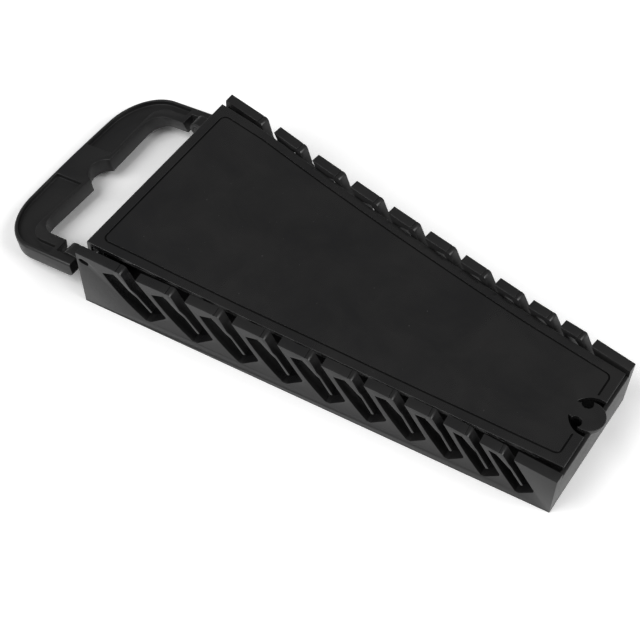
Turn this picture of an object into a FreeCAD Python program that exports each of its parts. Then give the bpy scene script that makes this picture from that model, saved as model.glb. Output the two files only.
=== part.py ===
import FreeCAD
import Part
import math
import os
from FreeCAD import Vector

# Wrench rack: a tapered tray whose two slotted side walls hold ten wrenches by spring fingers,
# with a hinged lid and a swinging carry handle at the wide end.
# X runs along the rack from the wide end to the narrow end, Y across it and Z up.
# The origin is the middle of the underside.

SIZES = {
    "bodyLength": 280.0,
    "wideWidth": 140.6,
    "narrowWidth": 83.0,
    "wideHeight": 44.2,
    "narrowHeight": 33.4,
    "wallDepth": 6.0,
    "endWallThickness": 2.5,
    "wideEndHeight": 24.5,
    "floorThickness": 2.2,
    "slotCount": 10.0,
    "firstTooth": 37.5,
    "firstPitch": 29.6,
    "lastPitch": 19.3,
    "firstSlotAngle": 57.0,
    "lastSlotAngle": 57.0,
    "slotFloorAngle": 42.0,
    "slotFloorFirst": 16.6,
    "slotFloorLast": 12.2,
    "slotBackFirst": 22.0,
    "slotBackLast": 12.9,
    "slotApexRise": 6.0,
    "slotBellyFirst": 2.8,
    "slotBellyLast": 0.8,
    "slotBandFirst": 5.9,
    "slotBandLast": 4.2,
    "mouthFirst": 8.6,
    "mouthLast": 5.4,
    "recessDownFirst": 6.9,
    "recessDownLast": 4.4,
    "recessBackFirst": 10.1,
    "recessBackLast": 5.2,
    "nubDownFirst": 11.2,
    "nubDownLast": 6.6,
    "nubBackFirst": 8.5,
    "nubBackLast": 4.8,
    "tipBackFirst": 7.6,
    "tipBackLast": 4.8,
    "rootRadiusFirst": 2.7,
    "rootRadiusLast": 2.0,
    "fingerUpper": 2.0,
    "fingerBlade": 1.6,
    "fingerTipGap": 5.8,
    "rootFrontAngle": 28.0,
    "rootRearAngle": 250.0,
    "socketTopAngle": 122.0,
    "socketBaseAngle": 202.0,
    "hingeClearance": 0.06,
    "lidThickness": 2.6,
    "lidSag": 4.6,
    "lidNarrowDrop": 2.0,
    "lidEndInset": 1.8,
    "lidWideGap": 2.17,
    "lidNarrowGap": 2.4,
    "lidSkirt": 12.0,
    "lidSkirtThickness": 2.4,
    "lidRestGap": 0.3,
    "lidBorder": 5.2,
    "lidGrooveWidth": 1.0,
    "lidGrooveDepth": 0.5,
    "lidGrooveCorner": 4.0,
    "lidPinInset": 5.4,
    "lidPinDrop": 6.2,
    "lidPinRadius": 1.9,
    "lidPinRecess": 0.8,
    "lidEarLength": 10.0,
    "lidEarThickness": 3.0,
    "pinSlotLength": 2.3,
    "pinSlotAngle": 15.0,
    "latchRadius": 9.0,
    "latchInset": 5.6,
    "latchClearance": 3.3,
    "latchBiteShift": 2.0,
    "latchNeck": 9.6,
    "latchWaist": 6.6,
    "latchNotchRadius": 3.2,
    "latchNotchBack": 4.0,
    "handlePivotOut": 14.8,
    "handlePivotHeight": 19.2,
    "handleTilt": 11.0,
    "handleTop": 2.9,
    "handleThickness": 9.4,
    "handleReach": 53.6,
    "handleInset": 1.3,
    "handleArmWidth": 15.0,
    "handleShoulderLength": 27.0,
    "handleShoulderWidth": 34.0,
    "handleGrip": 24.0,
    "handleGripSwell": 1.0,
    "handleInnerCorner": 10.0,
    "handleNotchWidth": 18.0,
    "handleNotchDepth": 7.0,
    "handlePocketDepth": 2.8,
    "handleRim": 2.4,
    "handleInnerRim": 2.6,
    "handleArmPocket": 8.5,
    "handleLand": 28.0,
    "handleBranchThickness": 6.0,
    "handleBranchEnd": 5.6,
    "handleBranchRound": 3.0,
    "handleLapGap": 4.2,
    "handlePinRadius": 2.4,
    "handleEdgeRound": 1.6,
    "lugRadius": 4.9,
    "lugWidth": 8.0,
    "lugGap": 0.3,
    "edgeRound": 1.2,
}

doc = FreeCAD.newDocument("wrench_rack")
sheet = doc.addObject("Spreadsheet::Sheet", "Sizes")
for row, (alias, size) in enumerate(SIZES.items(), start=1):
    sheet.set("A%d" % row, alias)
    sheet.set("B%d" % row, str(size))
    sheet.setAlias("B%d" % row, alias)
doc.recompute()


def size(alias):
    return float(sheet.get(alias))


subParts = []


def keep(piece, name):
    piece.Label = name
    subParts.append(piece)
    return piece


# Places that several pieces share.

wideX = -size("bodyLength") / 2
narrowX = size("bodyLength") / 2
halfTaper = (size("wideWidth") - size("narrowWidth")) / 2
taperAngle = math.degrees(math.atan2(halfTaper, size("bodyLength")))
wallLength = size("bodyLength") / math.cos(math.radians(taperAngle))
wallDepthAcross = size("wallDepth") / math.cos(math.radians(taperAngle))
topSlope = (size("narrowHeight") - size("wideHeight")) / wallLength
slotCount = int(round(size("slotCount")))
lidPinX = wideX + size("lidPinInset")
lidPinZ = size("wideHeight") - size("lidPinDrop")
handlePivotX = wideX - size("handlePivotOut")
handleHalfWidth = size("wideWidth") / 2 - size("handleInset")


def outerY(x):
    """Half width of the tray's outside at x."""
    return size("wideWidth") / 2 - halfTaper * (x - wideX) / size("bodyLength")


def innerY(x):
    return outerY(x) - wallDepthAcross


def wallTop(along):
    """Height of a side wall at a distance along it from the wide end."""
    return size("wideHeight") + topSlope * along


def share(slot, first, last):
    """A size that goes evenly from its first slot's value to its last slot's."""
    return size(first) + (size(last) - size(first)) * slot / (slotCount - 1)


def originPlane(body, role):
    return next(feature for feature in body.Origin.OriginFeatures if feature.Role == role)


def closedSketch(body, name, role, loops):
    """A sketch on one of the body's own planes, one closed run of edges for each loop."""
    sketch = body.newObject("Sketcher::SketchObject", name)
    sketch.AttachmentSupport = [(originPlane(body, role), "")]
    sketch.MapMode = "FlatFace"
    for loop in loops:
        sketch.addGeometry(loop, False)
    return sketch


def polygon(points):
    """Line segments through the points and back to the first."""
    corners = [Vector(x, y, 0) for x, y in points]
    return [Part.LineSegment(a, b) for a, b in zip(corners, corners[1:] + corners[:1])]


def arcThrough(start, middle, end):
    return Part.Arc(Vector(*start, 0), Vector(*middle, 0), Vector(*end, 0))


def line(start, end):
    return Part.LineSegment(Vector(*start, 0), Vector(*end, 0))


def padded(name, role, loops, alias, reverse=False, middle=False):
    """A body padded from closed loops by the named size."""
    body = doc.addObject("PartDesign::Body", name)
    sketch = closedSketch(body, name + "_outline", role, loops)
    pad = body.newObject("PartDesign::Pad", name + "_pad")
    pad.Profile = sketch
    pad.setExpression("Length", "Sizes." + alias)
    pad.Reversed = reverse
    pad.Midplane = middle
    doc.recompute()
    return body


def pocket(body, name, role, loops, alias=None, offset=0.0, reverse=False):
    """Cut closed loops into the body: through everything, or by the named depth."""
    sketch = closedSketch(body, name + "_outline", role, loops)
    sketch.AttachmentOffset = FreeCAD.Placement(Vector(0, 0, offset), FreeCAD.Rotation())
    before = body.Shape.Volume
    cut = body.newObject("PartDesign::Pocket", name)
    cut.Profile = sketch
    if alias is None:
        cut.Type = "ThroughAll"
        cut.Midplane = True
    else:
        cut.setExpression("Length", "Sizes." + alias)
        cut.Reversed = reverse
    doc.recompute()
    if body.Shape.Volume >= before - 1e-6:
        raise RuntimeError(name + " cuts nothing")
    return cut


# Slot frames: each slot is drawn from its tooth corner, with "down" along the slot
# and "back" square to it, towards the wide end.

def toothAlong(slot):
    pitchStep = (size("lastPitch") - size("firstPitch")) / (slotCount - 2)
    return size("firstTooth") + slot * size("firstPitch") + pitchStep * slot * (slot - 1) / 2


def fallingShare(slot, first, last):
    """A size that is its first slot's value there and soon settles at its last slot's."""
    return size(last) + (size(first) - size(last)) * (1 - slot / (slotCount - 1)) ** 2


def slotLean(slot):
    return math.radians(share(slot, "firstSlotAngle", "lastSlotAngle"))


def slotPoint(slot, down, back):
    along = toothAlong(slot)
    lean = slotLean(slot)
    x = along + down * math.cos(lean) - back * math.sin(lean)
    z = wallTop(along) - down * math.sin(lean) - back * math.cos(lean)
    return (x, z)


def slotDepths(slot):
    """Depths at the front and the back of the slot's floor, which stands on the solid band."""
    lean = slotLean(slot)
    floor = share(slot, "slotFloorFirst", "slotFloorLast")
    drop = wallTop(toothAlong(slot)) - share(slot, "slotBandFirst", "slotBandLast")
    back = (drop - floor * math.cos(lean)) / math.sin(lean)
    floorLean = math.radians(size("slotFloorAngle")) + lean - math.pi / 2
    return back - floor * math.tan(floorLean), back


def rootRadius(slot):
    return share(slot, "rootRadiusFirst", "rootRadiusLast")


def fingerPivot(slot):
    along = toothAlong(slot) - fallingShare(slot, "mouthFirst", "mouthLast") - rootRadius(slot)
    return (along, wallTop(along) - rootRadius(slot))


def aroundPivot(slot, radius, degrees):
    along, height = fingerPivot(slot)
    turn = math.radians(degrees)
    return (along + radius * math.cos(turn), height + radius * math.sin(turn))


def slotLoop(slot):
    """The opening of one slot: mouth, wrench space, flex space and the finger's root socket."""
    floor = share(slot, "slotFloorFirst", "slotFloorLast")
    frontDeep, backDeep = slotDepths(slot)
    socket = rootRadius(slot) + size("hingeClearance")
    above = 2 * rootRadius(slot)
    blunt = size("edgeRound")
    mouthTop = slotPoint(slot, -above, 0)
    socketTop = aroundPivot(slot, socket, size("socketTopAngle"))
    socketBase = aroundPivot(slot, socket, size("socketBaseAngle"))
    socketMiddle = aroundPivot(slot, socket, (size("socketTopAngle") + size("socketBaseAngle")) / 2)
    overRoot = (socketTop[0], wallTop(socketTop[0]) + above)
    apexBack = share(slot, "slotBackFirst", "slotBackLast")
    belly = fallingShare(slot, "slotBellyFirst", "slotBellyLast")
    apex = slotPoint(slot, -size("slotApexRise"), apexBack)
    bellyDown = (backDeep - size("slotApexRise")) / 2
    bellyPoint = slotPoint(slot, bellyDown, (apexBack + floor) / 2 + belly)
    backCorner = slotPoint(slot, backDeep - blunt, floor + belly / 2)
    points = [
        mouthTop,
        slotPoint(slot, frontDeep - blunt, 0),
        slotPoint(slot, frontDeep, blunt),
        slotPoint(slot, backDeep, floor - blunt),
        backCorner,
    ]
    edges = [line(a, b) for a, b in zip(points, points[1:])]
    edges.append(arcThrough(backCorner, bellyPoint, apex))
    edges.append(line(apex, socketBase))
    edges.append(arcThrough(socketBase, socketMiddle, socketTop))
    edges.append(line(socketTop, overRoot))
    edges.append(line(overRoot, mouthTop))
    return edges


def fingerLoop(slot):
    """A spring finger: round root, thick upper part with a recess, nub, then a thin blade."""
    root = rootRadius(slot)
    upper = size("fingerUpper")
    blade = size("fingerBlade")
    tip = slotDepths(slot)[0] - size("fingerTipGap")
    tipBack = share(slot, "tipBackFirst", "tipBackLast")
    recessDown = share(slot, "recessDownFirst", "recessDownLast")
    recessBack = fallingShare(slot, "recessBackFirst", "recessBackLast")
    nubDown = fallingShare(slot, "nubDownFirst", "nubDownLast")
    nubBack = fallingShare(slot, "nubBackFirst", "nubBackLast")
    frontRoot = aroundPivot(slot, root, size("rootFrontAngle"))
    rearRoot = aroundPivot(slot, root, size("rootRearAngle"))
    front = [
        frontRoot,
        slotPoint(slot, recessDown, recessBack),
        slotPoint(slot, nubDown, nubBack),
        slotPoint(slot, tip, tipBack),
    ]
    rear = [
        slotPoint(slot, tip, tipBack + blade),
        slotPoint(slot, nubDown + upper, nubBack + blade),
        slotPoint(slot, recessDown + upper / 2, recessBack + upper),
        rearRoot,
    ]
    tipEnd = slotPoint(slot, tip + blade / 2, tipBack + blade / 2)
    rootTop = aroundPivot(slot, root, (size("rootFrontAngle") + size("rootRearAngle")) / 2)
    edges = [line(a, b) for a, b in zip(front, front[1:])]
    edges.append(arcThrough(front[-1], tipEnd, rear[0]))
    edges.extend(line(a, b) for a, b in zip(rear, rear[1:]))
    edges.append(arcThrough(rearRoot, rootTop, frontRoot))
    return edges


def standWall(piece, side):
    """Stand a piece drawn flat on its side wall: side is -1 for the near wall and 1 for the far one."""
    corner = Vector(wideX, side * size("wideWidth") / 2, 0)
    yaw = FreeCAD.Rotation(Vector(0, 0, 1), -side * taperAngle)
    upright = FreeCAD.Rotation(Vector(1, 0, 0), 90)
    piece.Placement = FreeCAD.Placement(corner, yaw.multiply(upright))


def pinSlotTool(side):
    """The slanting slot that holds the lid's pin, cut square across the rack."""
    radius = size("lidPinRadius") + size("hingeClearance")
    rise = math.radians(180 - size("pinSlotAngle"))
    reach = size("pinSlotLength")
    low = Vector(lidPinX, 0, lidPinZ)
    high = low + Vector(reach * math.cos(rise), 0, reach * math.sin(rise))
    sideStep = Vector(-math.sin(rise), 0, math.cos(rise)) * radius
    along = (high - low).normalize()
    edges = [
        Part.LineSegment(low + sideStep, high + sideStep).toShape(),
        Part.Arc(high + sideStep, high + along * radius, high - sideStep).toShape(),
        Part.LineSegment(high - sideStep, low - sideStep).toShape(),
        Part.Arc(low - sideStep, low - along * radius, low + sideStep).toShape(),
    ]
    face = Part.Face(Part.Wire(edges))
    tool = doc.addObject("Part::Feature", "pin_slot_tool")
    tool.Shape = face.extrude(Vector(0, side * size("wideWidth"), 0))
    return tool


def sideWall(name, side):
    """A side wall, its ends cut square across the rack to lie flush with the end walls."""
    far = wallLength + size("wallDepth") * math.tan(math.radians(taperAngle))
    outline = polygon([(0, 0), (far, 0), (far, wallTop(far)), (0, wallTop(0))])
    body = padded(name + "_blank", "XY_Plane", [outline], "wallDepth", reverse=side < 0)
    pocket(body, name + "_slots", "XY_Plane", [slotLoop(slot) for slot in range(slotCount)])
    standWall(body, side)
    doc.recompute()
    slotted = doc.addObject("Part::Cut", name + "_long")
    slotted.Base = body
    slotted.Tool = pinSlotTool(side)
    wall = doc.addObject("Part::Common", name)
    wall.Base = slotted
    wall.Tool = bodySpan
    doc.recompute()
    return keep(wall, name)


def springFinger(sideName, side, slot):
    name = "%s_finger_%02d" % (sideName, slot + 1)
    finger = padded(name, "XY_Plane", [fingerLoop(slot)], "wallDepth", reverse=side < 0)
    standWall(finger, side)
    doc.recompute()
    return keep(finger, name)


bodySpan = doc.addObject("Part::Box", "body_span")
bodySpan.setExpression("Length", "Sizes.bodyLength")
bodySpan.setExpression("Width", "2 * Sizes.wideWidth")
bodySpan.setExpression("Height", "2 * Sizes.wideHeight")
bodySpan.Placement.Base = Vector(wideX, -size("wideWidth"), 0)

for sideName, side in (("near", -1), ("far", 1)):
    sideWall(sideName + "_side_wall", side)
    for slot in range(slotCount):
        springFinger(sideName, side, slot)


# End walls and floor fill the plan between the two side walls.

def planStrip(fromX, toX):
    return polygon([(fromX, -innerY(fromX)), (toX, -innerY(toX)), (toX, innerY(toX)), (fromX, innerY(fromX))])


wideInside = wideX + size("endWallThickness")
narrowInside = narrowX - size("endWallThickness")
keep(padded("floor_panel", "XY_Plane", [planStrip(wideInside, narrowInside)], "floorThickness"), "floor_panel")

narrowEnd = doc.addObject("PartDesign::Body", "narrow_end_wall")
endSketch = closedSketch(narrowEnd, "narrow_end_outline", "XY_Plane", [planStrip(narrowInside, narrowX)])
endPad = narrowEnd.newObject("PartDesign::Pad", "narrow_end_pad")
endPad.Profile = endSketch
endPad.setExpression("Length", "Sizes.narrowHeight - Sizes.lidNarrowDrop - Sizes.lidThickness - Sizes.lidRestGap")
doc.recompute()
keep(narrowEnd, "narrow_end_wall")

lugInner = handleHalfWidth - size("handleBranchThickness") - size("lugGap") - size("lugWidth")


def handleLug(side):
    """A rounded lug on the wide end that carries one arm of the handle."""
    pivot = Vector(handlePivotX, side * lugInner, size("handlePivotHeight"))
    across = Vector(0, side, 0)
    roundEnd = Part.makeCylinder(size("lugRadius"), size("lugWidth"), pivot, across)
    reach = wideX - handlePivotX
    low = size("handlePivotHeight") - size("lugRadius")
    y = side * lugInner if side > 0 else -lugInner - size("lugWidth")
    bar = Part.makeBox(reach, size("lugWidth"), 2 * size("lugRadius"), Vector(handlePivotX, y, low))
    boreRadius = size("handlePinRadius") + size("hingeClearance")
    bore = Part.makeCylinder(boreRadius, size("lugWidth"), pivot, across)
    return roundEnd.fuse(bar).removeSplitter().cut(bore)


wideBlank = padded("wide_end_blank", "XY_Plane", [planStrip(wideX, wideInside)], "wideEndHeight")
lugs = doc.addObject("Part::Feature", "handle_lugs")
lugs.Shape = Part.makeCompound([handleLug(-1), handleLug(1)])
wideEnd = doc.addObject("Part::MultiFuse", "wide_end_wall")
wideEnd.Shapes = [wideBlank, lugs]
wideEnd.Refine = True
doc.recompute()
keep(wideEnd, "wide_end_wall")


# Lid: a dished plate with a skirt and two pinned ears at the wide end and a latch disc at the other.

lidHalfWide = innerY(wideX) - size("lidWideGap")
lidHalfNarrow = innerY(narrowX) - size("lidNarrowGap")
latchX = narrowX - size("latchInset")
biteRadius = size("latchRadius") + size("latchClearance")
biteCentre = Vector(latchX + size("latchBiteShift"), 0, 0)
lidTipX = latchX + size("latchRadius")


def lidChord(x):
    fall = size("wideHeight") - size("narrowHeight") + size("lidNarrowDrop")
    return size("wideHeight") - fall * (x - wideX) / size("bodyLength")


def lidSurface(x):
    """Height of the lid's top: nearly the tray's top line, dished by the sag."""
    part = (x - wideX) / size("bodyLength")
    return lidChord(x) - 4 * size("lidSag") * part * (1 - part)


def lidHalf(x):
    return lidHalfWide + (lidHalfNarrow - lidHalfWide) * (x - wideX) / size("bodyLength")


def lidProfile(lower, upper, fromX, toX):
    """A band of the lid's section between two depths below its top surface."""
    middle = (fromX + toX) / 2
    top = [(x, lidSurface(x) - upper) for x in (fromX, middle, toX)]
    base = [(x, lidSurface(x) - lower) for x in (fromX, middle, toX)]
    return [
        arcThrough(*top),
        line(top[2], base[2]),
        arcThrough(base[2], base[1], base[0]),
        line(base[0], top[0]),
    ]


def lidOutline(inset):
    """Plan of the lid, drawn in by inset, without its latch disc."""
    fromX = wideX + inset
    toX = narrowX - size("lidEndInset") - inset
    return [(fromX, -lidHalf(fromX) + inset), (toX, -lidHalf(toX) + inset),
            (toX, lidHalf(toX) - inset), (fromX, lidHalf(fromX) - inset)]


def planPrism(points, low, high):
    corners = [Vector(x, y, low) for x, y in points]
    face = Part.Face(Part.makePolygon(corners + corners[:1]))
    return face.extrude(Vector(0, 0, high - low))


def sectionPrism(edges, halfWidth):
    """Extrude edges drawn in (x, z) across the rack."""
    wire = Part.Wire([edge.toShape() for edge in edges])
    upright = FreeCAD.Placement(Vector(0, halfWidth, 0), FreeCAD.Rotation(Vector(1, 0, 0), 90))
    wire.Placement = upright
    return Part.Face(wire).extrude(Vector(0, -2 * halfWidth, 0))


def lidShape():
    low = 0
    high = 2 * size("wideHeight")
    thickness = size("lidThickness")
    plate = sectionPrism(lidProfile(thickness, 0, wideX, lidTipX), lidHalfWide)
    outline = planPrism(lidOutline(0), low, high)
    latchCentre = Vector(latchX, 0, low)
    bite = Part.makeCylinder(biteRadius, high, biteCentre)
    disc = Part.makeCylinder(size("latchRadius"), high, latchCentre)
    neckCorner = Vector(biteCentre.x - biteRadius - 1, -size("latchNeck") / 2, low)
    neck = Part.makeBox(latchX - neckCorner.x, size("latchNeck"), high, neckCorner)
    notchX = latchX - size("latchNotchBack")
    notchY = size("latchWaist") / 2 + size("latchNotchRadius")
    notchCentres = [Vector(notchX, -notchY, low), Vector(notchX, notchY, low)]
    notches = [Part.makeCylinder(size("latchNotchRadius"), high, centre) for centre in notchCentres]
    plan = outline.cut(bite).fuse([disc, neck]).cut(notches)
    body = plate.common(plan)
    groove = lidGroove(low, high)
    body = body.cut(groove)
    skirtTop = lidSurface(wideX) - thickness / 2
    skirtBase = lidSurface(wideX) - size("lidSkirt")
    skirt = Part.makeBox(size("lidSkirtThickness"), 2 * lidHalfWide, skirtTop - skirtBase,
                         Vector(wideX, -lidHalfWide, skirtBase)).common(outline)
    pieces = [skirt]
    for side in (-1, 1):
        pieces.extend(lidEar(side, skirtBase))
    return body.fuse(pieces).removeSplitter()


def roundedPlan(inset, corner, low, high):
    """The lid's plan, drawn in by inset and with rounded corners."""
    prism = planPrism(lidOutline(inset), low, high)
    upright = [edge for edge in prism.Edges if edge.BoundBox.ZLength > (high - low) / 2]
    return prism.makeFillet(corner, upright)


def lidGroove(low, high):
    """A shallow line round the lid's top, a border's width in from its edges."""
    width = size("lidGrooveWidth")
    corner = size("lidGrooveCorner")
    outer = roundedPlan(size("lidBorder"), corner, low, high)
    inner = roundedPlan(size("lidBorder") + width, corner - width, low, high)
    keepOut = Part.makeCylinder(biteRadius + 2, high, biteCentre)
    band = sectionPrism(lidProfile(size("lidGrooveDepth"), -1, wideX, lidTipX), lidHalfWide)
    return outer.cut(inner).cut(keepOut).common(band)


def lidEar(side, base):
    """An ear under the lid's corner and the pin that it carries into the side wall."""
    ear = size("lidEarLength")
    thick = size("lidEarThickness")
    faceY = lidHalf(wideX + ear)
    y = faceY - thick if side > 0 else -faceY
    top = lidSurface(wideX + ear) - size("lidThickness") / 2
    plate = Part.makeBox(ear, thick, top - base, Vector(wideX, y, base))
    start = Vector(lidPinX, side * (faceY - thick / 2), lidPinZ)
    reach = outerY(lidPinX) - size("lidPinRecess") - (faceY - thick / 2)
    pin = Part.makeCylinder(size("lidPinRadius"), reach, start, Vector(0, side, 0))
    return [plate, pin]


lid = doc.addObject("Part::Feature", "lid")
lid.Shape = lidShape()
keep(lid, "lid")


# Handle: drawn flat with its pivot line on the Y axis, reaching towards -X, then tilted down.

def ellipseCorner(start, end, centre):
    """A quarter of an ellipse from start to end about the centre, which shares x or y with each."""
    middle = Vector(*centre, 0)
    first = Vector(*start, 0)
    last = Vector(*end, 0)
    slant = math.sqrt(0.5)
    between = middle + (first - middle) * slant + (last - middle) * slant
    longer, shorter = (first, last) if (first - middle).Length > (last - middle).Length else (last, first)
    ellipse = Part.Ellipse(longer, shorter, middle)
    low, high = sorted((ellipse.parameter(first), ellipse.parameter(last)))
    if not low < ellipse.parameter(between) < high:
        low, high = high, low + 2 * math.pi
    return Part.ArcOfEllipse(ellipse, low, high)


def handleContour(inset, innerInset, arm, start):
    """Outline of the C-shaped handle: drawn in by inset outside and innerInset inside."""
    half = handleHalfWidth - inset
    reach = size("handleReach") - inset
    bow = reach + size("edgeRound") / 2
    cornerLength = size("handleShoulderLength") - inset
    cornerWidth = size("handleShoulderWidth") - inset
    cornerX = cornerLength - reach
    cornerY = half - cornerWidth
    slant = math.sqrt(0.5)
    outer = [
        line((start, -half), (cornerX, -half)),
        ellipseCorner((cornerX, -half), (-reach, -cornerY), (cornerX, -cornerY)),
        arcThrough((-reach, -cornerY), (-bow, 0), (-reach, cornerY)),
        ellipseCorner((-reach, cornerY), (cornerX, half), (cornerX, cornerY)),
        line((cornerX, half), (start, half)),
    ]
    armInner = half - arm + inset
    grip = size("handleReach") - size("handleGrip") + innerInset
    elbow = grip + size("handleGripSwell")
    turn = size("handleInnerCorner")
    bend = turn * (1 - slant)
    notchHalf = size("handleNotchWidth") / 2 + innerInset
    back = [
        line((start, half), (start, armInner)),
        line((start, armInner), (-elbow + turn, armInner)),
        arcThrough((-elbow + turn, armInner), (-elbow + bend, armInner - bend), (-elbow, armInner - turn)),
        line((-elbow, armInner - turn), (-grip, notchHalf)),
        arcThrough((-grip, notchHalf), (-grip - size("handleNotchDepth"), 0), (-grip, -notchHalf)),
        line((-grip, -notchHalf), (-elbow, -armInner + turn)),
        arcThrough((-elbow, -armInner + turn), (-elbow + bend, -armInner + bend), (-elbow + turn, -armInner)),
        line((-elbow + turn, -armInner), (start, -armInner)),
        line((start, -armInner), (start, -half)),
    ]
    return outer + back


def flatPrism(edges, low, height):
    wire = Part.Wire([edge.toShape() for edge in edges])
    wire.Placement = FreeCAD.Placement(Vector(0, 0, low), FreeCAD.Rotation())
    return Part.Face(wire).extrude(Vector(0, 0, height))


armStart = -size("lugRadius") - size("handleLapGap")


def handleBranch(corner, width, thick):
    """The thin end of an arm, rounded below its tip, that laps the outside of a lug."""
    length = size("handleBranchEnd") - armStart
    bar = Part.makeBox(length, width, thick, corner)
    tip = [edge for edge in bar.Edges
           if edge.BoundBox.XMin > corner.x + length / 2 and edge.BoundBox.ZMax < corner.z + thick / 2]
    return bar.makeFillet(size("handleBranchRound"), tip)


def handleShape():
    top = size("handleTop")
    thick = size("handleThickness")
    slab = flatPrism(handleContour(0, 0, size("handleArmWidth"), armStart), top - thick, thick)
    half = handleHalfWidth
    branch = size("handleBranchThickness")
    pieces = []
    pins = []
    for side in (-1, 1):
        y = half - branch if side > 0 else -half
        pieces.append(handleBranch(Vector(armStart, y, top - thick), branch, thick))
        pinStart = Vector(0, side * (half - branch / 2), 0)
        pinLength = branch / 2 + size("lugGap") + size("lugWidth")
        pins.append(Part.makeCylinder(size("handlePinRadius"), pinLength, pinStart, Vector(0, -side, 0)))
    slab = roundedOutside(slab.fuse(pieces).removeSplitter(), top)
    return slab.cut(handlePockets(top)).fuse(pins).removeSplitter()


def roundedOutside(slab, top):
    """Round the top edge that runs round the outside of the handle."""
    half = handleHalfWidth
    near = 1e-3

    def outside(edge):
        middle = edge.CenterOfMass
        onTop = abs(edge.BoundBox.ZMin - top) < near and abs(edge.BoundBox.ZMax - top) < near
        onArm = abs(abs(middle.y) - half) < near
        onFront = middle.x < -size("handleReach") + size("handleShoulderLength") / 2
        return onTop and (onArm or onFront)

    edges = [edge for edge in slab.Edges if outside(edge)]
    return slab.makeFillet(size("handleEdgeRound"), edges)


def handlePockets(top):
    """Two shallow pockets in the handle's top, either side of the flush land at the middle."""
    depth = size("handlePocketDepth")
    start = armStart - size("handleInnerRim")
    contour = handleContour(size("handleRim"), size("handleInnerRim"), size("handleArmPocket"), start)
    slab = flatPrism(contour, top - depth, 2 * depth)
    land = size("handleLand")
    reach = 2 * size("handleReach")
    landBox = Part.makeBox(reach, land, 4 * depth, Vector(-reach, -land / 2, top - 2 * depth))
    return slab.cut(landBox)


handle = doc.addObject("Part::Feature", "handle")
handle.Shape = handleShape()
handle.Placement = FreeCAD.Placement(
    Vector(handlePivotX, 0, size("handlePivotHeight")),
    FreeCAD.Rotation(Vector(0, 1, 0), -size("handleTilt")),
)
keep(handle, "handle")

doc.recompute()

for item in doc.Objects:
    if "Invalid" in item.State or "Error" in item.State:
        raise RuntimeError("%s did not compute: %s" % (item.Name, item.State))
for piece in subParts:
    if piece.Shape.isNull() or not piece.Shape.isValid():
        raise RuntimeError("%s has no valid shape" % piece.Label)

os.makedirs("parts", exist_ok=True)
for piece in subParts:
    piece.Shape.exportStep("parts/%s.step" % piece.Label)
    box = piece.Shape.BoundBox
    print("%-22s %d solid(s) %9.1f mm3  x %.1f..%.1f y %.1f..%.1f z %.1f..%.1f" % (
        piece.Label, len(piece.Shape.Solids), piece.Shape.Volume,
        box.XMin, box.XMax, box.YMin, box.YMax, box.ZMin, box.ZMax))
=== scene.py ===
import bpy
import bmesh
import math
from mathutils import Vector, Matrix
from mathutils.bvhtree import BVHTree


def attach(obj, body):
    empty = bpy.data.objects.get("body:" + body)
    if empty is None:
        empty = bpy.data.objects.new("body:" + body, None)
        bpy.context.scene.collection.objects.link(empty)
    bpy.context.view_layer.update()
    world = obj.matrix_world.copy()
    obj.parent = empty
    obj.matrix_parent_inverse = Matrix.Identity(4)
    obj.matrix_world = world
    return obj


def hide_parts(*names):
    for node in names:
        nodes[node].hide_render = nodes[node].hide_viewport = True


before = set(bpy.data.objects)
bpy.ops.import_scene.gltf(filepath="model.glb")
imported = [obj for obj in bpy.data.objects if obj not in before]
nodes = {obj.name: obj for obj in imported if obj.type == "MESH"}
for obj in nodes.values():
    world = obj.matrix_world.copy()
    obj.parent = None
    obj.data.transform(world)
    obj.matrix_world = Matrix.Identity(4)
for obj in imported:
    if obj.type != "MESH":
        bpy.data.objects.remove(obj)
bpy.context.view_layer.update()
mm = 0.001

# The rack lies along X with its wide end at -X and its underside on the ground. Lengths are in metres.

tray = {
    "wideX": -140 * mm,
    "narrowX": 140 * mm,
    "length": 280 * mm,
    "wideHalf": 70.3 * mm,
    "narrowHalf": 41.5 * mm,
    "wideTop": 44.2 * mm,
    "fingers": 10,
    "wallRound": 0.55 * mm,
    "fingerRound": 0.3 * mm,
    "panelRound": 0.45 * mm,
}


def halfWidth(x):
    part = (x - tray["wideX"]) / tray["length"]
    return tray["wideHalf"] + (tray["narrowHalf"] - tray["wideHalf"]) * part


def lengthShare(x):
    return min(max((x - tray["wideX"]) / tray["length"], 0.0), 1.0)


# Rounded edges. The CAD pieces have sharp ones, and a moulding has none.

edges = {
    "weldGap": 0.004 * mm,
    "flatAngle": math.radians(0.6),
    "roundFrom": math.radians(32),
    "sharpFrom": math.radians(35),
    "seamGap": 0.09 * mm,
    "seamPoints": (0.2, 0.5, 0.8),
    "seamTouches": 2,
}

def clean(obj):
    # weld the mesh and drop the edges that only divide flat faces
    work = bmesh.new()
    work.from_mesh(obj.data)
    bmesh.ops.remove_doubles(work, verts=work.verts, dist=edges["weldGap"])
    bmesh.ops.dissolve_limit(work, angle_limit=edges["flatAngle"], verts=work.verts, edges=work.edges)
    work.to_mesh(obj.data)
    work.free()


def meshTree(node):
    work = bmesh.new()
    work.from_mesh(nodes[node].data)
    found = BVHTree.FromBMesh(work)
    work.free()
    return found


def onSeam(edge, neighbours):
    # an edge where this solid meets another of the same moulding stays flush
    start, end = edge.verts[0].co, edge.verts[1].co
    touching = 0
    for part in edges["seamPoints"]:
        point = start.lerp(end, part)
        touching += any(other.find_nearest(point, edges["seamGap"])[0] is not None for other in neighbours)
    return touching >= edges["seamTouches"]


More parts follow.
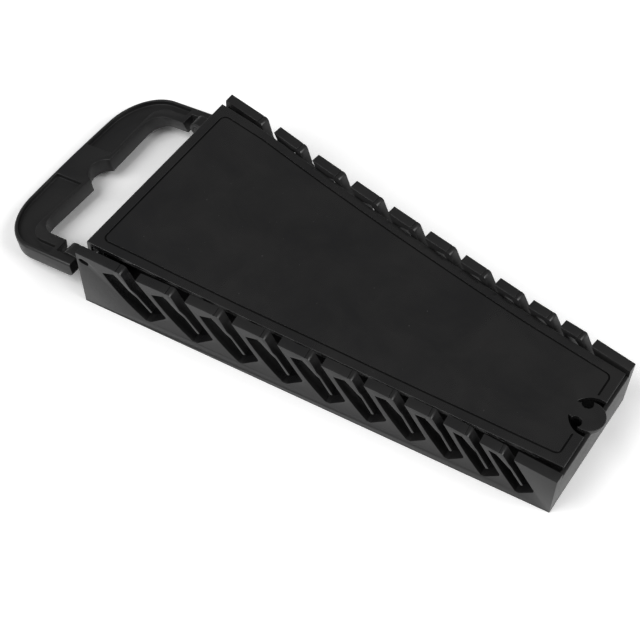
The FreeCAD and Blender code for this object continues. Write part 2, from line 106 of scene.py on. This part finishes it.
def weighEdges(obj, neighbours, weigh):
    # the bevel's weight on each edge that is a corner and not a seam
    work = bmesh.new()
    work.from_mesh(obj.data)
    layer = work.edges.layers.float.new("bevel_weight_edge")
    for edge in work.edges:
        if len(edge.link_faces) != 2 or edge.calc_face_angle(0.0) < edges["roundFrom"]:
            continue
        if onSeam(edge, neighbours):
            continue
        edge[layer] = weigh((edge.verts[0].co + edge.verts[1].co) / 2)
    work.to_mesh(obj.data)
    work.free()


def evenly(point):
    return 1.0


def moulding(node, name, riding, width, neighbours=(), segments=3, shape=None, weigh=evenly):
    # a copy of a CAD node with the rounded edges of a moulding, which stands for that node
    copy = bpy.data.objects.new(name, nodes[node].data.copy())
    bpy.context.scene.collection.objects.link(copy)
    clean(copy)
    weighEdges(copy, neighbours, weigh)
    if shape:
        for vertex in copy.data.vertices:
            vertex.co = shape(vertex.co)
    bevel = copy.modifiers.new("rounded edges", "BEVEL")
    bevel.width = width
    bevel.segments = segments
    bevel.limit_method = "WEIGHT"
    bevel.use_clamp_overlap = True
    graph = bpy.context.evaluated_depsgraph_get()
    mesh = bpy.data.meshes.new_from_object(copy.evaluated_get(graph))
    copy.modifiers.clear()
    copy.data = mesh
    for polygon in mesh.polygons:
        polygon.use_smooth = True
    mesh.set_sharp_from_angle(angle=edges["sharpFrom"])
    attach(copy, riding)
    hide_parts(node)
    return copy


# Finishes, with a painted highlight along edges and painted shade in inner corners and grooves. Each is
# worked out on object coordinates, which are the rack's own metres.

def newMaterial(name):
    material = bpy.data.materials.new(name)
    material.use_nodes = True
    tree = material.node_tree
    tree.nodes.clear()
    return material, tree


def add(tree, kind, **settings):
    node = tree.nodes.new(kind)
    for key, value in settings.items():
        setattr(node, key, value)
    return node


def noise(tree, coords, scale, detail=4.0, roughness=0.55, distortion=0.0):
    node = add(tree, "ShaderNodeTexNoise")
    node.inputs["Scale"].default_value = scale
    node.inputs["Detail"].default_value = detail
    node.inputs["Roughness"].default_value = roughness
    node.inputs["Distortion"].default_value = distortion
    tree.links.new(coords, node.inputs["Vector"])
    return node.outputs["Fac"]


def ramp(tree, factor, low, high, fromLow, fromHigh):
    # a factor's range mapped onto low to high and held at the ends
    node = add(tree, "ShaderNodeMapRange")
    node.inputs["From Min"].default_value = fromLow
    node.inputs["From Max"].default_value = fromHigh
    node.inputs["To Min"].default_value = low
    node.inputs["To Max"].default_value = high
    tree.links.new(factor, node.inputs["Value"])
    return node.outputs["Result"]


def reckon(tree, operation, first, second):
    node = add(tree, "ShaderNodeMath", operation=operation)
    for socket, value in zip(node.inputs, (first, second)):
        if isinstance(value, (int, float)):
            socket.default_value = value
        else:
            tree.links.new(value, socket)
    return node.outputs[0]


def mixColour(tree, factor, first, second):
    node = add(tree, "ShaderNodeMix", data_type="RGBA")
    for socket, value in zip((node.inputs[0], node.inputs[6], node.inputs[7]), (factor, first, second)):
        if isinstance(value, (int, float)):
            socket.default_value = value
        elif isinstance(value, tuple):
            socket.default_value = (*value, 1.0)
        else:
            tree.links.new(value, socket)
    return node.outputs[2]


def paintedEdgeHighlight(tree, radius, turned):
    # 1 along sharp edges, where a widely rounded normal turns away from the true one: the mask of a painted
    # highlight
    bevel = add(tree, "ShaderNodeBevel", samples=6)
    bevel.inputs["Radius"].default_value = radius
    geometry = add(tree, "ShaderNodeNewGeometry")
    dot = add(tree, "ShaderNodeVectorMath", operation="DOT_PRODUCT")
    tree.links.new(bevel.outputs[0], dot.inputs[0])
    tree.links.new(geometry.outputs["Normal"], dot.inputs[1])
    return ramp(tree, dot.outputs["Value"], 1.0, 0.0, *turned)


def openness(tree, reach, span):
    # 1 on open faces, falling to 0 in inner corners and grooves: the mask of painted shade
    shade = add(tree, "ShaderNodeAmbientOcclusion", samples=8)
    shade.inputs["Distance"].default_value = reach
    return ramp(tree, shade.outputs["AO"], 0.0, 1.0, *span)


def nearOutline(tree, coords, outline):
    # 1 along the tapered lid's outer edges and 0 further in, so that the painted edge highlight stays off its
    # groove and the groove's painted shade stays dark
    part = add(tree, "ShaderNodeSeparateXYZ")
    tree.links.new(coords, part.inputs[0])
    across = reckon(tree, "ABSOLUTE", reckon(tree, "SUBTRACT", part.outputs["Y"], outline["middle"]), 0.0)
    along = reckon(tree, "SUBTRACT", part.outputs["X"], tray["wideX"])
    taper = reckon(tree, "MULTIPLY", along, outline["taper"])
    sides = ramp(tree, reckon(tree, "ADD", across, taper), 0.0, 1.0, *outline["sides"])
    ends = ramp(tree, reckon(tree, "ABSOLUTE", part.outputs["X"], 0.0), 0.0, 1.0, *outline["ends"])
    return reckon(tree, "MAXIMUM", sides, ends)


def blackPlastic(name, look):
    material, tree = newMaterial(name)
    coords = add(tree, "ShaderNodeTexCoord").outputs["Object"]
    out = add(tree, "ShaderNodeOutputMaterial")
    shader = add(tree, "ShaderNodeBsdfPrincipled")
    tree.links.new(shader.outputs[0], out.inputs["Surface"])

    cloud = noise(tree, coords, look["cloudScale"], 5.0, 0.6, 0.4)
    grain = noise(tree, coords, look["grainScale"], 3.0, 0.5)
    speck = noise(tree, coords, look["speckScale"], 2.0, 0.6)
    dust = ramp(tree, speck, 0.0, 1.0, *look["speckSpan"])
    # a painted highlight along the sharp edges
    edge = paintedEdgeHighlight(tree, look["edgeRadius"], look["edgeTurn"])
    if "outline" in look:
        edge = reckon(tree, "MULTIPLY", edge, nearOutline(tree, coords, look["outline"]))

    # clouds of two blacks, then a painted highlight along the edges, specks of dust and painted shade in
    # inner corners
    tone = mixColour(tree, ramp(tree, cloud, 0.0, 1.0, *look["cloudSpan"]), look["dark"], look["light"])
    edgeHighlighted = mixColour(tree, reckon(tree, "MULTIPLY", edge, look["edgeHighlightAmount"]), tone, look["edgeHighlightColour"])
    dusted = mixColour(tree, reckon(tree, "MULTIPLY", dust, look["speckAmount"]), edgeHighlighted, look["speckColour"])
    # painted shade: a near-black mixed in where inner corners and grooves close in
    openFace = openness(tree, look["pocketReach"], look["pocketSpan"])
    tree.links.new(mixColour(tree, openFace, look["paintedShadeColour"], dusted), shader.inputs["Base Color"])
    shader.inputs["Specular IOR Level"].default_value = look["specular"]

    patchy = ramp(tree, cloud, look["roughLow"], look["roughHigh"], *look["roughSpan"])
    fine = ramp(tree, grain, -look["grainRough"], look["grainRough"], *look["roughSpan"])
    dull = ramp(tree, openFace, look["pocketRough"], 0.0, 0.0, 1.0)
    tree.links.new(reckon(tree, "ADD", reckon(tree, "ADD", patchy, fine), dull), shader.inputs["Roughness"])

    # shallow sink marks first, then the fine spark-eroded grain of the mould
    sink = noise(tree, coords, look["sinkScale"], 2.0, 0.5)
    broad = add(tree, "ShaderNodeBump")
    broad.inputs["Strength"].default_value = look["sinkStrength"]
    broad.inputs["Distance"].default_value = look["sinkDepth"]
    tree.links.new(sink, broad.inputs["Height"])
    close = add(tree, "ShaderNodeBump")
    close.inputs["Strength"].default_value = look["grainStrength"]
    close.inputs["Distance"].default_value = look["grainDepth"]
    tree.links.new(grain, close.inputs["Height"])
    tree.links.new(broad.outputs["Normal"], close.inputs["Normal"])
    tree.links.new(close.outputs["Normal"], shader.inputs["Normal"])
    return material


trayPlastic = {
    "dark": (0.0085, 0.0085, 0.0090),
    "light": (0.0125, 0.0122, 0.0122),
    # a paler grey painted as a highlight along the edges
    "edgeHighlightColour": (0.060, 0.060, 0.062),
    "edgeHighlightAmount": 0.35,
    "edgeRadius": 0.45 * mm,
    "edgeTurn": (0.80, 0.995),
    "speckColour": (0.30, 0.30, 0.30),
    "speckAmount": 0.20,
    "speckScale": 800.0,
    "speckSpan": (0.76, 0.80),
    "cloudScale": 26.0,
    "cloudSpan": (0.35, 0.65),
    "grainScale": 2400.0,
    "grainStrength": 0.20,
    "grainDepth": 0.04 * mm,
    "grainRough": 0.03,
    "sinkScale": 42.0,
    "sinkStrength": 0.25,
    "sinkDepth": 0.4 * mm,
    "roughLow": 0.27,
    "roughHigh": 0.37,
    "roughSpan": (0.3, 0.7),
    "specular": 0.5,
    "pocketReach": 2.5 * mm,
    "pocketSpan": (0.35, 0.85),
    # the near-black of the painted shade in inner corners
    "paintedShadeColour": (0.002, 0.002, 0.002),
    "pocketRough": 0.4,
}
lidOutline = {
    "middle": 1.5 * mm,
    "taper": 0.1037,
    "sides": (58.9 * mm, 60.2 * mm),
    "ends": (134.4 * mm, 135.6 * mm),
}
lidPlastic = dict(
    trayPlastic,
    roughLow=0.22,
    roughHigh=0.32,
    sinkScale=24.0,
    sinkStrength=0.15,
    speckAmount=0.35,
    # a brighter painted highlight along the lid's outer edges
    edgeHighlightColour=(0.11, 0.11, 0.112),
    edgeHighlightAmount=0.8,
    edgeRadius=0.6 * mm,
    outline=lidOutline,
)
# a darker copy of the tray plastic: painted shade in the lid's groove
grooveShadePlastic = dict(
    trayPlastic,
    dark=(0.0025, 0.0025, 0.0025),
    light=(0.0035, 0.0035, 0.0035),
    edgeHighlightAmount=0.0,
    speckAmount=0.0,
    roughLow=0.55,
    roughHigh=0.65,
    specular=0.1,
)
# darker blacks than the tray's: painted shade over the whole handle
handlePlastic = dict(
    trayPlastic,
    dark=(0.0065, 0.0065, 0.0070),
    light=(0.0095, 0.0092, 0.0092),
    roughLow=0.32,
    roughHigh=0.44,
    grainStrength=0.35,
    edgeHighlightAmount=0.7,
    pocketReach=4.0 * mm,
)

finishes = {
    "tray": blackPlastic("tray plastic", trayPlastic),
    "lid": blackPlastic("lid plastic", lidPlastic),
    "groove": blackPlastic("groove painted shade", grooveShadePlastic),
    "handle": blackPlastic("handle plastic", handlePlastic),
}


def paint(obj, finish):
    obj.data.materials.clear()
    obj.data.materials.append(finishes[finish])


# Tray: walls, fingers, floor and end walls, with the slight warp of a thin moulding.

trayWarp = {
    "stations": (0.0, 30.0, 80.0, 140.0, 215.0, 256.0, 280.0),
    "outwardNear": (1.4, 1.5, -0.2, -0.9, -1.2, 1.2, 3.0),
    "outwardFar": (1.4, 1.5, -0.2, -0.9, -1.2, 1.2, 1.9),
    "floorBow": 1.4,
    "floorReach": 16.0,
    "floorBlend": 8.0,
}


def between(x, stations, amounts):
    # smooth value at x from amounts at stations
    if x <= stations[0]:
        return amounts[0]
    for start, end, low, high in zip(stations, stations[1:], amounts, amounts[1:]):
        if x <= end:
            part = (x - start) / (end - start)
            return low + (high - low) * part * part * (3 - 2 * part)
    return amounts[-1]


def warped(point):
    # the walls' tops lean out and in along their length and their feet bow in at the middle
    side = 1 if point.y > 0 else -1
    edge = halfWidth(point.x) - trayWarp["floorReach"] * mm
    nearWall = min(max((abs(point.y) - edge) / (trayWarp["floorBlend"] * mm), 0.0), 1.0)
    lift = min(max(point.z / tray["wideTop"], 0.0), 1.0)
    lean = trayWarp["outwardFar"] if side > 0 else trayWarp["outwardNear"]
    top = between((point.x - tray["wideX"]) / mm, trayWarp["stations"], lean)
    part = lengthShare(point.x)
    foot = -trayWarp["floorBow"] * 4 * part * (1 - part) * (1 - lift)
    return Vector((point.x, point.y + side * nearWall * (top * lift * lift + foot) * mm, point.z))


panelNodes = ("wide_end_wall", "narrow_end_wall", "floor_panel")
seamTrees = {node: meshTree(node) for node in panelNodes}
for word in ("near", "far"):
    wallNode = word + "_side_wall"
    fingerNodes = ["%s_finger_%02d" % (word, number + 1) for number in range(tray["fingers"])]
    for node in [wallNode] + fingerNodes:
        seamTrees[node] = meshTree(node)
    around = [seamTrees[node] for node in (*fingerNodes, *panelNodes)]
    wall = moulding(wallNode, word + "_wall", "rack_body", tray["wallRound"], around, shape=warped)
    paint(wall, "tray")
    for node in fingerNodes:
        finger = moulding(node, node + "_blade", node, tray["fingerRound"], [seamTrees[wallNode]],
                          shape=warped)
        paint(finger, "tray")
for node in panelNodes:
    around = [found for other, found in seamTrees.items() if other != node]
    panel = moulding(node, node + "_moulding", "rack_body", tray["panelRound"], around,
                     shape=warped)
    paint(panel, "tray")
print("tray done")


# Lid: it lies a little to the far side in its play, with uneven long edges. Its border groove has smaller
# rounded edges than its outline, and a darker colour painted in it as shade.

lid = {
    "edgeRound": 0.8 * mm,
    "edgeSegments": 4,
    "grooveShare": 0.22,
    "border": 3.0 * mm,
    "sideInset": 9 * mm,
    "halfInset": 8 * mm,
    "stations": (0.0, 30.0, 80.0, 140.0, 215.0, 256.0, 280.0),
    "nearShift": (0.0, 0.9, 1.8, 2.8, 2.4, 1.6, 0.9),
    "farShift": (0.0, 2.3, 1.6, 1.1, 0.9, 1.7, 2.2),
    "fall": 12.8 * mm,
    "sag": 4.6 * mm,
    "grooveDepth": (0.15 * mm, 0.7 * mm),
    "grooveMiddle": 1.5 * mm,
    "grooveInset": 11 * mm,
    "grooveEnd": 5 * mm,
    "bite": (136.4 * mm, 0.0),
    "biteReach": 13.5 * mm,
}


def lidEdge(point):
    inX = tray["wideX"] + lid["border"] < point.x < tray["narrowX"] - lid["border"]
    inY = abs(point.y) < halfWidth(point.x) - lid["sideInset"] - lid["border"]
    fromBite = math.hypot(point.x - lid["bite"][0], point.y - lid["bite"][1])
    return lid["grooveShare"] if inX and inY and fromBite > lid["biteReach"] else 1.0


def lidBowed(point):
    along = (point.x - tray["wideX"]) / mm
    farness = min(max((point.y / (halfWidth(point.x) - lid["halfInset"]) + 1) / 2, 0.0), 1.0)
    near = between(along, lid["stations"], lid["nearShift"])
    far = between(along, lid["stations"], lid["farShift"])
    return Vector((point.x, point.y + (near + (far - near) * farness) * mm, point.z))


def lidTop(x):
    part = lengthShare(x)
    return tray["wideTop"] - lid["fall"] * part - 4 * lid["sag"] * part * (1 - part)


def darkenGroove(obj):
    # painted shade on the groove's floor and sides, which lie just under the top and away from the lid's
    # edges
    obj.data.materials.append(finishes["groove"])
    shallow, deep = lid["grooveDepth"]
    for polygon in obj.data.polygons:
        centre = polygon.center
        inX = tray["wideX"] + lid["border"] < centre.x < tray["narrowX"] - lid["grooveEnd"]
        inY = abs(centre.y - lid["grooveMiddle"]) < halfWidth(centre.x) - lid["grooveInset"]
        if inX and inY and shallow < lidTop(centre.x) - centre.z < deep:
            polygon.material_index = 1


lidMoulding = moulding("lid", "lid_moulding", "lid", lid["edgeRound"], segments=lid["edgeSegments"],
                       shape=lidBowed, weigh=lidEdge)
paint(lidMoulding, "lid")
darkenGroove(lidMoulding)
print("lid done")


# Handle: the arms' inner faces lean outwards towards their lower edge, as a mould's core needs.

handle = {
    "pivot": (-154.8 * mm, 0.0, 19.2 * mm),
    "tilt": math.radians(11),
    "top": 2.9 * mm,
    "thickness": 9.4 * mm,
    "innerY": 54.0 * mm,
    "cornerY": 44.0 * mm,
    "innerReach": -31.0 * mm,
    "draft": 2.4 * mm,
    "margin": 0.1 * mm,
    "edgeRound": 0.7 * mm,
}


def handleDrafted(point):
    local = Matrix.Rotation(handle["tilt"], 3, "Y") @ (point - Vector(handle["pivot"]))
    inside = handle["cornerY"] < abs(local.y) < handle["innerY"] + handle["margin"]
    if not inside or local.x < handle["innerReach"]:
        return point
    depth = min(max((handle["top"] - local.z) / handle["thickness"], 0.0), 1.0)
    corner = (abs(local.y) - handle["cornerY"]) / (handle["innerY"] - handle["cornerY"])
    local.y += math.copysign(handle["draft"] * depth * corner, local.y)
    return Matrix.Rotation(-handle["tilt"], 3, "Y") @ local + Vector(handle["pivot"])


handleMoulding = moulding("handle", "handle_moulding", "handle", handle["edgeRound"],
                          shape=handleDrafted)
paint(handleMoulding, "handle")
print("handle done")


# Stage: a floor and surroundings that are white where they are seen, and two wide soft lights.

stage = {
    "floorSize": 8.0,
    "floorColour": 0.88,
    "floorSeen": 1.25,
    "floorMirrored": 0.98,
    "floorRough": 0.8,
    "floorSpecular": 0.1,
    "surround": 0.20,
    "lamps": (
        {"name": "near soft light", "place": (-0.74, -1.05, 1.53), "size": 1.5, "power": 26.5},
        {"name": "end soft light", "place": (1.36, 0.22, 1.34), "size": 1.15, "power": 20.0},
    ),
}


def softLight(lamp):
    data = bpy.data.lights.new(lamp["name"], "AREA")
    data.shape = "SQUARE"
    data.size = lamp["size"]
    data.energy = lamp["power"]
    light = bpy.data.objects.new(lamp["name"], data)
    light.location = lamp["place"]
    light.rotation_euler = (-Vector(lamp["place"])).to_track_quat("-Z", "Y").to_euler()
    bpy.context.scene.collection.objects.link(light)


def makeFloor():
    mesh = bpy.data.meshes.new("floor")
    half = stage["floorSize"] / 2
    corners = [(-half, -half, 0), (half, -half, 0), (half, half, 0), (-half, half, 0)]
    mesh.from_pydata(corners, [], [(0, 1, 2, 3)])
    floor = bpy.data.objects.new("floor", mesh)
    bpy.context.scene.collection.objects.link(floor)
    # white where it is seen, directly or mirrored, and plain to the light that it throws back
    material, tree = newMaterial("white ground")
    shader = add(tree, "ShaderNodeBsdfPrincipled")
    path = add(tree, "ShaderNodeLightPath")
    mirrored = reckon(tree, "MAXIMUM", path.outputs["Is Glossy Ray"], path.outputs["Is Transmission Ray"])
    level = ramp(tree, mirrored, stage["floorColour"], stage["floorMirrored"], 0.0, 1.0)
    seen = reckon(tree, "MULTIPLY", path.outputs["Is Camera Ray"], stage["floorSeen"])
    tree.links.new(reckon(tree, "MAXIMUM", level, seen), shader.inputs["Base Color"])
    shader.inputs["Roughness"].default_value = stage["floorRough"]
    shader.inputs["Specular IOR Level"].default_value = stage["floorSpecular"]
    out = add(tree, "ShaderNodeOutputMaterial")
    tree.links.new(shader.outputs[0], out.inputs["Surface"])
    mesh.materials.append(material)


def makeSurround():
    # white behind the rack, and dark to everything that it lights or is mirrored in
    world = bpy.data.worlds.new("surround")
    bpy.context.scene.world = world
    world.use_nodes = True
    tree = world.node_tree
    background = tree.nodes["Background"]
    toCamera = add(tree, "ShaderNodeLightPath").outputs["Is Camera Ray"]
    tree.links.new(ramp(tree, toCamera, stage["surround"], 1.0, 0.0, 1.0), background.inputs["Strength"])
    background.inputs["Color"].default_value = (1, 1, 1, 1)


makeFloor()
makeSurround()
for lamp in stage["lamps"]:
    softLight(lamp)

camera = {
    "focalPixels": 1464.1,
    "pixels": 640.0,
    "sensor": 36.0,
    "yaw": math.radians(122.58),
    "pitch": math.radians(54.37),
    "roll": math.radians(-1.60),
    "place": (232.1 * mm, -408.2 * mm, 663.9 * mm),
    "clip": (0.01, 20.0),
}


def makeCamera():
    data = bpy.data.cameras.new("camera")
    data.sensor_width = camera["sensor"]
    data.lens = camera["focalPixels"] * camera["sensor"] / camera["pixels"]
    data.clip_start, data.clip_end = camera["clip"]
    eye = bpy.data.objects.new("camera", data)
    yaw, pitch, roll = camera["yaw"], camera["pitch"], camera["roll"]
    ahead = Vector((math.cos(yaw) * math.cos(pitch), math.sin(yaw) * math.cos(pitch), -math.sin(pitch)))
    level = Vector((math.sin(yaw), -math.cos(yaw), 0))
    down = ahead.cross(level)
    right = level * math.cos(roll) + down * math.sin(roll)
    below = down * math.cos(roll) - level * math.sin(roll)
    turn = Matrix((right, -below, -ahead)).transposed()
    eye.matrix_world = Matrix.Translation(camera["place"]) @ turn.to_4x4()
    bpy.context.scene.collection.objects.link(eye)
    bpy.context.scene.camera = eye


makeCamera()
bpy.context.scene.view_settings.view_transform = "Standard"
print("stage done")
